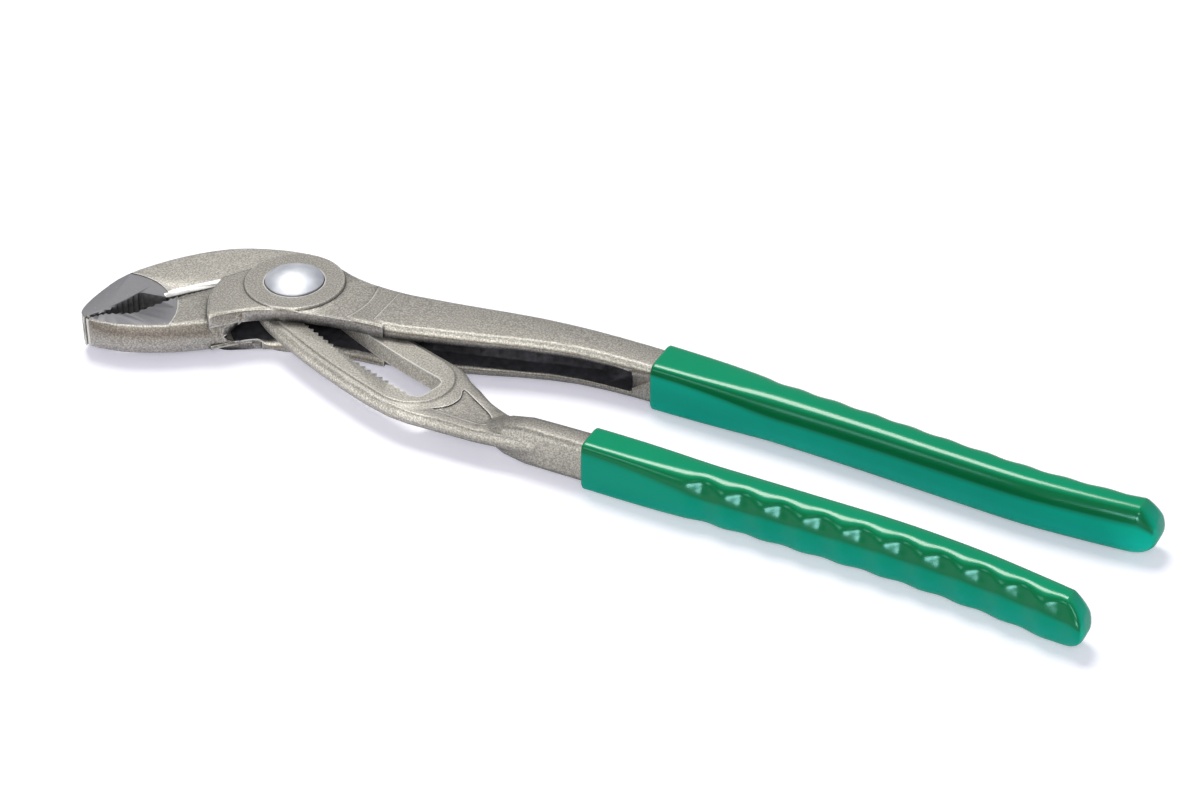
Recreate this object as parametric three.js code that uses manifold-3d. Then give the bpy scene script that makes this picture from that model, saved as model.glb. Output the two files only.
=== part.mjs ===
// Water pump pliers with a push-button slip joint, lying flat on their side. Millimetres.
// The joint bolt stands on the Z axis, +X runs towards the handles, +Z is up, and Z = 0 is
// the surface that the pliers lie on. One arm is a box of two cheeks, and the blade of the
// other arm passes between them. A curved slot in the blade has a rack of notches.
import * as THREE from 'three';
import { mergeVertices } from 'three/addons/utils/BufferGeometryUtils.js';
import Module from 'manifold-3d';

const wasm = await Module();
wasm.setup();

// Thicknesses, all centred on the middle plane of the two forgings
const GRIP_THICKNESS = 12.4;
const BOSS_THICKNESS = 12.4;
const CHEEK_THICKNESS = 11.6;
const HANDLE_ROOT_THICKNESS = 12.0;
const HANDLE_THICKNESS = 10.0;
const JAW_THICKNESS = 8.2;
const BLADE_THICKNESS = 4.4;
const WEB_THICKNESS = 3.6;
const CHANNEL_HEIGHT = 5.2;
const MARK_FIELD_DEPTH = 0.3;
const GROUND_DEPTH = 0.25;
const MID_Z = GRIP_THICKNESS / 2;

// Clearances between the pieces
const BLADE_CLEARANCE = 0.3;
const TURNING_CLEARANCE = 0.35;
const SLIDING_CLEARANCE = 0.25;
const BOLT_CLEARANCE = 0.2;
const GRIP_CLEARANCE = 0.2;
const JAW_GAP = 0.4;

// Curved slot in the blade: an arc through the bolt, whose centre lies beyond the far handle
const SLOT_RADIUS = 195;
const SLOT_BEARING = THREE.MathUtils.degToRad(31);
const SLOT_WIDTH = 8.9;
const SLOT_END = 51.6;
const SLOT_CORNER = 2.2;
const NOTCH_PITCH = 1.95;
const NOTCH_DEPTH = 0.9;
const NEAR_BAR_WIDTH = 6.4;
const FAR_BAR_WIDTH = 7.1;
const PAD_NEAR_RIM = 1.9;
const PAD_FAR_RIM = 1.4;
const PAD_END_WALL = 3.4;
const DRAFT_WIDTH = 0.9;
const DRAFT_HEIGHT = 1.3;

// Push-button bolt
const HEAD_DIAMETER = 13.8;
const HEAD_STANDING = 0.4;
const DOME_HEIGHT = 2.0;
const DOME_STEPS = 8;
const DRUM_DEPTH = 1.4;
const NECK_DIAMETER = 7.8;
const COLLAR_LENGTH = 8.4;
const SHANK_DIAMETER = 5.0;
const GROOVE_DIAMETER = 4.2;
const CLIP_DIAMETER = 8.6;
const CLIP_THICKNESS = 0.6;
const CLIP_MOUTH = THREE.MathUtils.degToRad(70);
const CLIP_RECESS = 1.4;
const BOLT_END_STANDOFF = 0.15;
const LOWER_WEB = 0.8;
const SPRING_WIRE = 0.8;
const SPRING_DIAMETER = 7.0;
const SPRING_TURNS = 2.5;

// Head of the boxed arm, in plan
const BOSS_RADIUS = 11.85;
const FIELD_RADIUS = 19.7;
const CHEEK_END_X = 27.4;
const CHEEK_CORNER = new THREE.Vector2(-16.5, -5.2);
const WINDOW_END = new THREE.Vector2(-4.7, -15.4);
const WINDOW_APEX = new THREE.Vector2(-8.2, -19.2);
const WINDOW_APEX_DROP = 0.7;
const WINDOW_UPPER_SLOPE = 4.5;
const WINDOW_LOWER_SLOPE = 3.0;
const SPINE_START = 7;
const CHANNEL_DEPTH = 5.0;
const CHANNEL_START_X = 26;
const CHANNEL_END_X = 85;
const CHANNEL_CORNER = 1.4;

// Jaw faces: a straight line from heel to tip, with the pipe recess part of the way along
const JAW_HEEL = new THREE.Vector2(-18, -9);
const JAW_TIP = new THREE.Vector2(-37.5, -31.7);
const RECESS_START = 9.4;
const RECESS_END = 25;
const BACK_VALLEY = new THREE.Vector2(14.6, 4.8);
const FRONT_VALLEY = new THREE.Vector2(19, -2.5);
const COARSE_TOOTH = 0.55;
const FINE_TOOTH = 0.4;
const BEVEL_WIDTH = 2.8;
const BEVEL_DEPTH = 1.7;
const JAW_DRAFT = 0.7;

// Grips
const BOXED_GRIP_START_X = 89.6;
const SLOTTED_GRIP_START_X = 88.9;
const GRIP_WALL = 0.95;
const GRIP_FRONT_CORNER = 2.1;
const GRIP_CORNER = 3.7;
const GRIP_ROUNDING_RUN = 32;
const GRIP_FULLNESS = 0.5;
const GRIP_NOSE = 5.0;
const GRIP_HEEL = 7.0;
const NOSE_HEIGHT = 6.0;
const NOSE_THICKNESS = 3.6;
const NOSE_WIDTH = 0.45;
const RIPPLE_COUNT = 10;
const RIPPLE_PITCH = 9.2;
const RIPPLE_SWELL = 0.5;
const RIPPLE_DEPTH = 0.7;
const RIPPLE_START_X = 118.6;

// Edges of the forgings
const FORGED_EDGE = 0.6;
const BAR_CORNER = 1.6;

// Sizes that follow from the ones above
const WINDOW_HEIGHT = BLADE_THICKNESS + 2 * BLADE_CLEARANCE;
const BLADE_TOP = MID_Z + BLADE_THICKNESS / 2;
const BLADE_BOTTOM = MID_Z - BLADE_THICKNESS / 2;
const WINDOW_TOP = MID_Z + WINDOW_HEIGHT / 2;
const WINDOW_BOTTOM = MID_Z - WINDOW_HEIGHT / 2;
const BOSS_TOP = MID_Z + BOSS_THICKNESS / 2;
const BOSS_BOTTOM = MID_Z - BOSS_THICKNESS / 2;
const SLOT_FAR = SLOT_WIDTH / 2;
const RACK_TIP = -SLOT_WIDTH / 2 + NOTCH_DEPTH / 2;
const RACK_ROOT = RACK_TIP - NOTCH_DEPTH;
const BLADE_NEAR = -SLOT_WIDTH / 2 - NEAR_BAR_WIDTH;
const BLADE_FAR = SLOT_WIDTH / 2 + FAR_BAR_WIDTH;
const SLOT_START = -(COLLAR_LENGTH / 2 + 1.3);
const SLOT_CENTRE = new THREE.Vector2(
  SLOT_RADIUS * Math.sin(SLOT_BEARING),
  SLOT_RADIUS * Math.cos(SLOT_BEARING),
);
const JAW_ALONG = JAW_TIP.clone().sub(JAW_HEEL).normalize();
const JAW_ACROSS = new THREE.Vector2(JAW_ALONG.y, -JAW_ALONG.x);
const JAW_LENGTH = JAW_TIP.distanceTo(JAW_HEEL);
const FAR_AWAY = 60;

// Materials
const FORGED_STEEL = new THREE.MeshStandardMaterial({ color: 0xaaa79b, roughness: 0.55, metalness: 0.9 });
const POLISHED_STEEL = new THREE.MeshStandardMaterial({ color: 0xd6d9de, roughness: 0.2, metalness: 1.0 });
const SPRING_STEEL = new THREE.MeshStandardMaterial({ color: 0x7a7d82, roughness: 0.4, metalness: 1.0 });
const GREEN_PLASTIC = new THREE.MeshStandardMaterial({ color: 0x12a06e, roughness: 0.25, metalness: 0.0 });

// A closed three.js geometry as a solid that can be joined and cut
function solid(geometry) {
  const bare = geometry.clone();
  bare.deleteAttribute('normal');
  bare.deleteAttribute('uv');
  const merged = mergeVertices(bare, 1e-4);
  const vertProperties = Float32Array.from(merged.attributes.position.array);
  const triVerts = Uint32Array.from(merged.index.array);
  return new wasm.Manifold(new wasm.Mesh({ numProp: 3, vertProperties, triVerts }));
}

// A finished solid as a named mesh
function piece(name, body, material) {
  const { vertProperties, triVerts } = body.getMesh();
  const geometry = new THREE.BufferGeometry();
  geometry.setAttribute('position', new THREE.BufferAttribute(vertProperties, 3));
  geometry.setIndex(new THREE.BufferAttribute(triVerts, 1));
  geometry.computeVertexNormals();
  const mesh = new THREE.Mesh(geometry, material);
  mesh.name = name;
  return mesh;
}

// A plan outline raised between two heights, with square edges
function prism(outline, low, high) {
  const geometry = new THREE.ExtrudeGeometry(new THREE.Shape(outline), {
    depth: high - low,
    bevelEnabled: false,
  });
  return solid(geometry.translate(0, 0, low));
}

// A plan outline raised to a thickness about the middle plane, with broken edges
function forging(outline, thickness, edge = FORGED_EDGE, drop = edge, rounds = 2) {
  const geometry = new THREE.ExtrudeGeometry(new THREE.Shape(outline), {
    depth: thickness - 2 * drop,
    bevelThickness: drop,
    bevelSize: edge,
    bevelOffset: -edge,
    bevelSegments: rounds,
  });
  return solid(geometry.translate(0, 0, MID_Z - thickness / 2 + drop));
}

// A turned piece about the Z axis, from its radius and height profile
function turned(profile, segments = 40) {
  const points = profile.map(([radius, height]) => new THREE.Vector2(radius, height));
  return solid(new THREE.LatheGeometry(points, segments).rotateX(Math.PI / 2));
}

// A plain cylinder about the Z axis
function drum(radius, low, high, segments = 40) {
  return turned([[0, low], [radius, low], [radius, high], [0, high]], segments);
}

// Points of a smooth plan curve through a few given ones
function smooth(points, count) {
  const knots = points.map(([x, y]) => new THREE.Vector2(x, y));
  return new THREE.SplineCurve(knots).getPoints(count);
}

// Points of an arc about the bolt, between two angles in degrees
function arcAboutBolt(radius, from, to, count) {
  const curve = new THREE.EllipseCurve(
    0, 0, radius, radius,
    THREE.MathUtils.degToRad(from), THREE.MathUtils.degToRad(to), to < from,
  );
  return curve.getPoints(count);
}

// A point of the blade, by its way along the slot from the bolt and its offset to the far side
function alongSlot(way, offset) {
  const bearing = SLOT_BEARING - way / SLOT_RADIUS;
  const reach = SLOT_RADIUS - offset;
  return new THREE.Vector2(
    SLOT_CENTRE.x - reach * Math.sin(bearing),
    SLOT_CENTRE.y - reach * Math.cos(bearing),
  );
}

// Points along the slot at one offset
function slotRun(from, to, offset, steps = 10) {
  const points = [];
  for (let i = 0; i <= steps; i += 1) {
    points.push(alongSlot(from + ((to - from) * i) / steps, offset));
  }
  return points;
}

// A point of the jaws, by its way from heel to tip and its offset towards the back jaw
function alongJaw(way, offset) {
  return JAW_HEEL.clone().addScaledVector(JAW_ALONG, way).addScaledVector(JAW_ACROSS, offset);
}

// Teeth along one stretch of a jaw face: tips on the stretch, roots sunk to one side of it
function teeth(from, to, count, depth) {
  const points = [];
  const step = to.clone().sub(from).divideScalar(count);
  const sink = new THREE.Vector2(-step.y, step.x).normalize().multiplyScalar(depth);
  for (let i = 0; i < count; i += 1) {
    points.push(from.clone().addScaledVector(step, i));
    points.push(from.clone().addScaledVector(step, i + 0.5).add(sink));
  }
  return points;
}

// The empty space in front of one jaw's toothed face
function mouthCut(side) {
  const gap = (side * JAW_GAP) / 2;
  const heel = new THREE.Vector2(0.4, gap);
  const recessStart = new THREE.Vector2(RECESS_START, gap);
  const recessEnd = new THREE.Vector2(RECESS_END, gap);
  const tip = new THREE.Vector2(JAW_LENGTH, gap);
  const valley = side > 0 ? BACK_VALLEY : FRONT_VALLEY;
  const depth = (size) => side * size;
  const face = [
    new THREE.Vector2(-9, gap),
    ...teeth(heel, recessStart, 7, depth(FINE_TOOTH)),
    recessStart,
    ...(side > 0 ? [] : teeth(recessStart, valley, 5, depth(COARSE_TOOTH))),
    valley,
    ...teeth(valley, recessEnd, side > 0 ? 7 : 4, depth(COARSE_TOOTH)),
    ...teeth(recessEnd, tip, 4, depth(FINE_TOOTH)),
    tip,
    new THREE.Vector2(JAW_LENGTH + 6, gap),
    new THREE.Vector2(JAW_LENGTH + 6, -side * 14),
    new THREE.Vector2(-9, -side * 14),
  ];
  const outline = face.map((point) => alongJaw(point.x, point.y));
  return prism(outline, -FAR_AWAY, FAR_AWAY);
}

// Two thin discs that grind a jaw's upper and lower sides smooth round its tip
function groundFaces(x, y, radius) {
  const high = MID_Z + JAW_THICKNESS / 2 - GROUND_DEPTH;
  const low = MID_Z - JAW_THICKNESS / 2 + GROUND_DEPTH;
  const upper = drum(radius, high, high + 2).translate([x, y, 0]);
  const lower = drum(radius, low - 2, low).translate([x, y, 0]);
  return upper.add(lower);
}

// One ring of a bar: a rounded rectangle across X, with its outer side pushed out by a ripple
function barRing({ x, y, z = MID_Z, width, height, corner, outer = 1, ripple = 0 }) {
  const radius = Math.min(corner, 0.48 * width, 0.48 * height);
  const ring = [];
  for (let quarter = 0; quarter < 4; quarter += 1) {
    const sideY = quarter === 0 || quarter === 3 ? 1 : -1;
    const sideZ = quarter < 2 ? 1 : -1;
    for (let step = 0; step < 3; step += 1) {
      const angle = ((quarter + step / 2) * Math.PI) / 2;
      const reachY = sideY * (width / 2 - radius) + radius * Math.cos(angle);
      const reachZ = sideZ * (height / 2 - radius) + radius * Math.sin(angle);
      const push = sideY === outer ? outer * ripple * Math.abs(Math.cos(angle)) : 0;
      ring.push(new THREE.Vector3(x, y + reachY + push, z + reachZ));
    }
  }
  return ring;
}

// A bar through a row of rings, closed at both ends
function loft(rings) {
  const size = rings[0].length;
  const positions = rings.flat().flatMap((point) => point.toArray());
  const index = [];
  for (let i = 0; i + 1 < rings.length; i += 1) {
    for (let j = 0; j < size; j += 1) {
      const a = i * size + j;
      const b = i * size + ((j + 1) % size);
      index.push(a, b, a + size, b, b + size, a + size);
    }
  }
  const last = (rings.length - 1) * size;
  for (let j = 1; j + 1 < size; j += 1) {
    index.push(0, j + 1, j);
    index.push(last, last + j, last + j + 1);
  }
  const geometry = new THREE.BufferGeometry();
  geometry.setAttribute('position', new THREE.Float32BufferAttribute(positions, 3));
  geometry.setIndex(index);
  return solid(geometry);
}

// The run of a handle: X, centre line Y and width of its steel bar, as a smooth curve
function handleRun(stations) {
  const knots = stations.map(([x, y, width]) => new THREE.Vector3(x, y, width));
  return new THREE.CatmullRomCurve3(knots, false, 'centripetal');
}

const BOXED_RUN = handleRun([
  [22, -0.1, 14.4], [30, 0.8, 14.9], [40, 2.9, 13.7], [50, 5.3, 12.8], [60, 7.7, 11.3],
  [70, 9.3, 9.9], [80, 9.8, 9.4], [92, 9.6, 9.1], [122, 8.0, 7.8], [142, 6.5, 7.0],
  [162, 4.7, 6.4], [180, 3.3, 5.9], [194, 3.3, 5.3], [208, 3.9, 4.9],
]);
const SLOTTED_RUN = handleRun([
  [62, -25.2, 4.6], [66, -25.4, 5.4], [74, -25.4, 6.2], [92, -25.5, 6.6], [122, -26.0, 6.6],
  [142, -26.4, 6.4], [162, -27.0, 6.2], [180, -28.7, 5.7], [194, -31.0, 5.1], [208, -33.8, 4.7],
]);
const TANG_END_X = 199;
const BOXED_GRIP_END_X = 210.5;
const SLOTTED_GRIP_END_X = 207.2;

// Stations of a handle between two places along X, read off its run
function stationsBetween(run, fromX, toX, count) {
  const fine = run.getPoints(600);
  const stations = [];
  for (let i = 0; i <= count; i += 1) {
    const x = fromX + ((toX - fromX) * i) / count;
    const next = fine.findIndex((point) => point.x >= x);
    const k = Math.max(next === -1 ? fine.length - 1 : next, 1);
    const share = (x - fine[k - 1].x) / (fine[k].x - fine[k - 1].x);
    const point = fine[k - 1].clone().lerp(fine[k], share);
    stations.push({ x, y: point.y, width: point.z });
  }
  return stations;
}

// Steel bar of a handle, thinning from its root to the tang inside the grip
function handleBar(run, fromX, rootThickness, gripStartX, spare = 0) {
  const stations = stationsBetween(run, fromX, TANG_END_X + spare, 26);
  return loft(stations.map(({ x, y, width }) => {
    const share = THREE.MathUtils.smoothstep(x, fromX, gripStartX);
    const height = THREE.MathUtils.lerp(rootThickness, HANDLE_THICKNESS, share);
    return { x, y, width: width + 2 * spare, height: height + 2 * spare, corner: BAR_CORNER + spare };
  }).map(barRing));
}

// Push of a grip's outer side: a slight swell, drawn in again at each finger dimple
function rippleAt(x, startX) {
  const swell = RIPPLE_SWELL * THREE.MathUtils.smoothstep(x, startX, RIPPLE_START_X - RIPPLE_PITCH / 2);
  const way = (x - RIPPLE_START_X) / RIPPLE_PITCH;
  const nearest = THREE.MathUtils.clamp(Math.round(way), 0, RIPPLE_COUNT - 1);
  const apart = Math.min(Math.abs(way - nearest), 0.5);
  return swell - (RIPPLE_DEPTH * (1 + Math.cos(2 * Math.PI * apart))) / 2;
}

// Upper and lower side of a grip at a place along it: level, then drawn together to a low nose
function gripSides(x, endX) {
  const bottom = MID_Z - GRIP_THICKNESS / 2;
  const top = MID_Z + GRIP_THICKNESS / 2;
  const fall = THREE.MathUtils.clamp((x - endX + GRIP_NOSE) / GRIP_NOSE, 0, 1);
  const rise = THREE.MathUtils.clamp((x - endX + GRIP_HEEL) / GRIP_HEEL, 0, 1);
  const noseTop = bottom + NOSE_HEIGHT + NOSE_THICKNESS / 2;
  const noseBottom = bottom + NOSE_HEIGHT - NOSE_THICKNESS / 2;
  return {
    high: THREE.MathUtils.lerp(top, noseTop, 0.75 * fall + 0.25 * fall ** 4),
    low: THREE.MathUtils.lerp(bottom, noseBottom, 0.5 * rise ** 2 + 0.5 * rise ** 5),
  };
}

// Dipped sleeve over a handle, with a rippled outer side and a wedge-shaped nose
function grip(run, startX, endX, outer) {
  const reach = 2 * (GRIP_WALL + GRIP_CLEARANCE);
  const noseX = endX - GRIP_NOSE;
  const body = stationsBetween(run, startX, noseX, 56);
  const nose = stationsBetween(run, noseX, endX, 7).slice(1);
  const rings = [...body, ...nose].map(({ x, y, width }) => {
    const { high, low } = gripSides(x, endX);
    const full = (high - low) / GRIP_THICKNESS;
    const taper = THREE.MathUtils.lerp(NOSE_WIDTH, 1, Math.sqrt(full));
    const rounding = THREE.MathUtils.smoothstep(x, startX, startX + GRIP_ROUNDING_RUN);
    return barRing({
      x,
      y,
      z: (high + low) / 2,
      width: (width + reach + GRIP_FULLNESS * rounding) * taper,
      height: high - low,
      corner: THREE.MathUtils.lerp(GRIP_FRONT_CORNER, GRIP_CORNER, rounding),
      outer,
      ripple: rippleAt(x, startX),
    });
  });
  return loft(rings);
}

// Plan outline of both cheeks of the box
function cheekOutline() {
  const near = smooth([[-10.4, -21.3], [-5, -15.7], [2, -11.8], [14, -8.7], [CHEEK_END_X, -7.3]], 16);
  const far = smooth([[CHEEK_END_X, 7.4], [20, 7.3], [12, 8.4], [7.2, 10.0]], 8);
  const round = arcAboutBolt(BOSS_RADIUS - 0.4, 58, 164, 12);
  const step = smooth([[CHEEK_CORNER.x, CHEEK_CORNER.y], [-15.3, -13], [-11.4, -20.6]], 8);
  return [...near, ...far, ...round, ...step];
}

// The window between the cheeks: all that lies on the near side of the spine
function boxWindow() {
  const spine = slotRun(FAR_AWAY, SPINE_START, BLADE_FAR + TURNING_CLEARANCE, 16);
  const first = spine[0];
  const last = spine[spine.length - 1];
  const outline = [
    new THREE.Vector2(-FAR_AWAY, -FAR_AWAY),
    new THREE.Vector2(first.x, -FAR_AWAY),
    ...spine,
    new THREE.Vector2(last.x, FAR_AWAY),
    new THREE.Vector2(-FAR_AWAY, FAR_AWAY),
  ];
  return prism(outline, WINDOW_BOTTOM, WINDOW_TOP);
}

// The lower cheek falls back from the upper one under the near jaw
function cheekRelief() {
  const back = smooth([[-17, -16.8], [-10.3, -17.2], [-6.5, -15.5], [-1.5, -12.6]], 8);
  const outline = [...back, new THREE.Vector2(-1.5, -30), new THREE.Vector2(-17, -30)];
  return prism(outline, MID_Z - CHEEK_THICKNESS, MID_Z - JAW_THICKNESS / 2 + FORGED_EDGE);
}

// Groove along the inner side of the boxed handle, with rounded corners at its blind end
function handleChannel() {
  const stations = stationsBetween(BOXED_RUN, CHANNEL_START_X, CHANNEL_END_X, 14);
  const bottom = stations.map(({ x, y, width }) => new THREE.Vector2(x, y - width / 2 + CHANNEL_DEPTH));
  const outline = [
    new THREE.Vector2(CHANNEL_START_X, -FAR_AWAY),
    new THREE.Vector2(CHANNEL_END_X, -FAR_AWAY),
    ...bottom.reverse(),
  ];
  const low = MID_Z - CHANNEL_HEIGHT / 2;
  const high = MID_Z + CHANNEL_HEIGHT / 2;
  const end = CHANNEL_END_X;
  const corner = CHANNEL_CORNER;
  const side = new THREE.Shape();
  side.moveTo(CHANNEL_START_X - 1, low);
  side.lineTo(end - corner, low);
  side.absarc(end - corner, low + corner, corner, -Math.PI / 2, 0);
  side.absarc(end - corner, high - corner, corner, 0, Math.PI / 2);
  side.lineTo(CHANNEL_START_X - 1, high);
  const mill = new THREE.ExtrudeGeometry(side, {
    depth: 2 * FAR_AWAY,
    bevelEnabled: false,
    curveSegments: 5,
  });
  const milled = solid(mill.rotateX(Math.PI / 2).translate(0, FAR_AWAY, 0));
  return prism(outline, low, high).intersect(milled);
}

// Bores for the bolt: head above the blade, spring pocket, lower bearing and clip recess below
function boltBores() {
  const webLow = BOSS_BOTTOM + CLIP_RECESS;
  const pocketLow = webLow + LOWER_WEB;
  const head = drum(HEAD_DIAMETER / 2 + BOLT_CLEARANCE, MID_Z, BOSS_TOP + 2);
  const pocket = drum(SPRING_DIAMETER / 2 + SPRING_WIRE, pocketLow, MID_Z, 32);
  const bearing = drum(SHANK_DIAMETER / 2 + BOLT_CLEARANCE, BOSS_BOTTOM, MID_Z, 32);
  const recess = drum(CLIP_DIAMETER / 2 + 2 * BOLT_CLEARANCE, BOSS_BOTTOM - 1, webLow, 32);
  return head.add(pocket).add(bearing).add(recess);
}

// Shallow fields beside the boss, on the upper and lower cheek
function markFields() {
  const outline = [
    ...arcAboutBolt(FIELD_RADIUS, -40, 40, 16),
    ...arcAboutBolt(BOSS_RADIUS - 0.6, 60, -60, 16),
  ];
  const high = MID_Z + CHEEK_THICKNESS / 2 - MARK_FIELD_DEPTH;
  const low = MID_Z - CHEEK_THICKNESS / 2 + MARK_FIELD_DEPTH;
  return prism(outline, high, high + 2).add(prism(outline, low - 2, low));
}

// The boss with its broken edges, through both cheeks
function bossRing() {
  const edge = FORGED_EDGE / 2;
  return turned([
    [0, BOSS_BOTTOM], [BOSS_RADIUS - edge, BOSS_BOTTOM], [BOSS_RADIUS, BOSS_BOTTOM + edge],
    [BOSS_RADIUS, BOSS_TOP - edge], [BOSS_RADIUS - edge, BOSS_TOP], [0, BOSS_TOP],
  ], 64);
}

// What the forging draft takes off a near side: nothing at the parting line, most at the edges
function draftCut(near, thickness, draft) {
  const edge = FORGED_EDGE;
  const top = thickness / 2;
  const rings = near.slice(1, -1).map((point, i) => {
    const along = near[i + 2].clone().sub(near[i]).normalize();
    const inward = new THREE.Vector2(-along.y, along.x);
    const fade = THREE.MathUtils.smoothstep(i, -0.5, 4);
    const deep = draft * fade;
    const profile = [
      [-3, top + 1], [-3, 0], [0, 0], [deep * (1 - edge / top), top - edge], [deep + edge, top],
      [deep + edge, top + 1],
    ];
    return profile.map(([reach, rise]) => {
      const place = point.clone().addScaledVector(inward, reach);
      return new THREE.Vector3(place.x, place.y, rise);
    });
  });
  const mirrored = rings.map((ring) => {
    const below = ring.map((point) => new THREE.Vector3(point.x, point.y, -point.z));
    return [below[0], ...below.slice(1).reverse()];
  });
  return loft(rings).add(loft(mirrored)).translate([0, 0, MID_Z]);
}

// Near jaw and the block that joins the two cheeks at the window's end
function frontJaw() {
  const wall = BLADE_NEAR - TURNING_CLEARANCE;
  const near = smooth([
    [-37.5, -31.7], [-34, -32.3], [-28, -31.3], [-20, -27.8], [-13, -23.3], [WINDOW_APEX.x, WINDOW_APEX.y],
    [-5.1, -15.9],
  ], 22);
  const outline = [
    ...near,
    WINDOW_END,
    ...slotRun(-4.9, -12.5, wall, 4),
    alongJaw(-4, 4),
    alongJaw(JAW_LENGTH + 1.5, 4),
    alongJaw(JAW_LENGTH + 1.2, 0),
  ];
  const slab = forging(outline, JAW_THICKNESS).subtract(draftCut(near, JAW_THICKNESS, JAW_DRAFT));
  return slab.subtract(mouthCut(-1)).subtract(groundFaces(-36, -27, 17.6)).subtract(windowPoint());
}

// The window's end is pointed below half-way up, like the end of a forged opening
function windowPoint() {
  const half = WINDOW_HEIGHT / 2;
  const profile = new THREE.Shape([
    new THREE.Vector2(0, -WINDOW_APEX_DROP),
    new THREE.Vector2(WINDOW_LOWER_SLOPE, -half),
    new THREE.Vector2(2 * WINDOW_UPPER_SLOPE, -half),
    new THREE.Vector2(2 * WINDOW_UPPER_SLOPE, half),
    new THREE.Vector2(WINDOW_UPPER_SLOPE, half),
  ]);
  const along = new THREE.Vector3(1, 1, 0).normalize();
  const up = new THREE.Vector3(0, 0, 1);
  const outward = new THREE.Vector3().crossVectors(along, up);
  const apex = new THREE.Vector3(WINDOW_APEX.x, WINDOW_APEX.y, MID_Z);
  const start = apex.addScaledVector(outward, -14);
  const frame = new THREE.Matrix4().makeBasis(along, up, outward).setPosition(start);
  const wedge = new THREE.ExtrudeGeometry(profile, { depth: 20, bevelEnabled: false });
  return solid(wedge.applyMatrix4(frame));
}

function boxedArm() {
  const cheeks = forging(cheekOutline(), CHEEK_THICKNESS).subtract(markFields()).add(bossRing());
  const bar = handleBar(BOXED_RUN, CHEEK_END_X - 3, HANDLE_ROOT_THICKNESS, BOXED_GRIP_START_X);
  const handle = bar.subtract(handleChannel());
  const box = cheeks.add(handle).subtract(boxWindow()).subtract(cheekRelief());
  return box.add(frontJaw()).subtract(boltBores());
}

// Slot outline with a given near side, from its start to its end
function slotOutline(nearSide) {
  const corner = SLOT_CORNER;
  const far = SLOT_FAR;
  const cut = corner * (1 - Math.SQRT1_2);
  return [
    alongSlot(SLOT_START, -far + corner),
    alongSlot(SLOT_START + cut, -far + cut),
    ...nearSide,
    alongSlot(SLOT_END - cut, -far + cut),
    alongSlot(SLOT_END, -far + corner),
    alongSlot(SLOT_END, far - corner),
    alongSlot(SLOT_END - cut, far - cut),
    ...slotRun(SLOT_END - corner, SLOT_START + corner, far, 14),
    alongSlot(SLOT_START + cut, far - cut),
    alongSlot(SLOT_START, far - corner),
  ];
}

// The slot: a rack of notches in the upper half, and a relieved wall below it
function slotCut() {
  const first = Math.ceil((SLOT_START + SLOT_CORNER) / NOTCH_PITCH);
  const last = Math.floor((SLOT_END - SLOT_CORNER) / NOTCH_PITCH);
  const rack = [];
  for (let notch = first; notch <= last; notch += 1) {
    rack.push(alongSlot(notch * NOTCH_PITCH, RACK_ROOT));
    if (notch < last) rack.push(alongSlot((notch + 0.5) * NOTCH_PITCH, RACK_TIP));
  }
  const relief = RACK_ROOT - SLIDING_CLEARANCE;
  const plain = slotRun(SLOT_START + SLOT_CORNER, SLOT_END - SLOT_CORNER, relief, 14);
  const upper = prism(slotOutline(rack), MID_Z, BLADE_TOP + 1);
  const lower = prism(slotOutline(plain), BLADE_BOTTOM - 1, MID_Z + 0.01);
  return upper.add(lower);
}

// Full outline of the blade and neck
function webOutline() {
  const throat = -9.1;
  return [
    ...slotRun(throat, SLOT_END - 9, BLADE_NEAR, 14),
    alongSlot(SLOT_END - 3, BLADE_NEAR + 0.3),
    alongSlot(SLOT_END + 1.5, BLADE_NEAR + 1.2),
    alongSlot(SLOT_END + 9, BLADE_NEAR + 3.3),
    alongSlot(SLOT_END + 17, BLADE_NEAR + 5.2),
    new THREE.Vector2(77, -28.5),
    new THREE.Vector2(77, -22.7),
    new THREE.Vector2(72, -21.8),
    ...smooth([[66.5, -20.3], [61.6, -18.2], [57.1, -15.0]], 6),
    alongSlot(SLOT_END + 4, BLADE_FAR - 2.4),
    alongSlot(SLOT_END + 1.2, BLADE_FAR - 1),
    alongSlot(SLOT_END - 1.8, BLADE_FAR - 0.2),
    ...slotRun(SLOT_END - 5, -4, BLADE_FAR, 14),
    new THREE.Vector2(-9, 11.5),
    new THREE.Vector2(-24, 2),
    alongJaw(2, JAW_GAP / 2),
  ];
}

// Shallow three-cornered fields on the neck, above and below
function neckFields() {
  const outline = smooth([
    [50.2, -26.3], [56, -26.7], [62.6, -26.9], [64.5, -25.4], [63.4, -22.9], [58, -19.3], [53.4, -16.6],
    [54.2, -20], [53.2, -23.6], [50.2, -26.3],
  ], 27).slice(1);
  const high = MID_Z + WEB_THICKNESS / 2 - MARK_FIELD_DEPTH;
  const low = MID_Z - WEB_THICKNESS / 2 + MARK_FIELD_DEPTH;
  return prism(outline, high, high + 2).add(prism(outline, low - 2, low));
}

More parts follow.
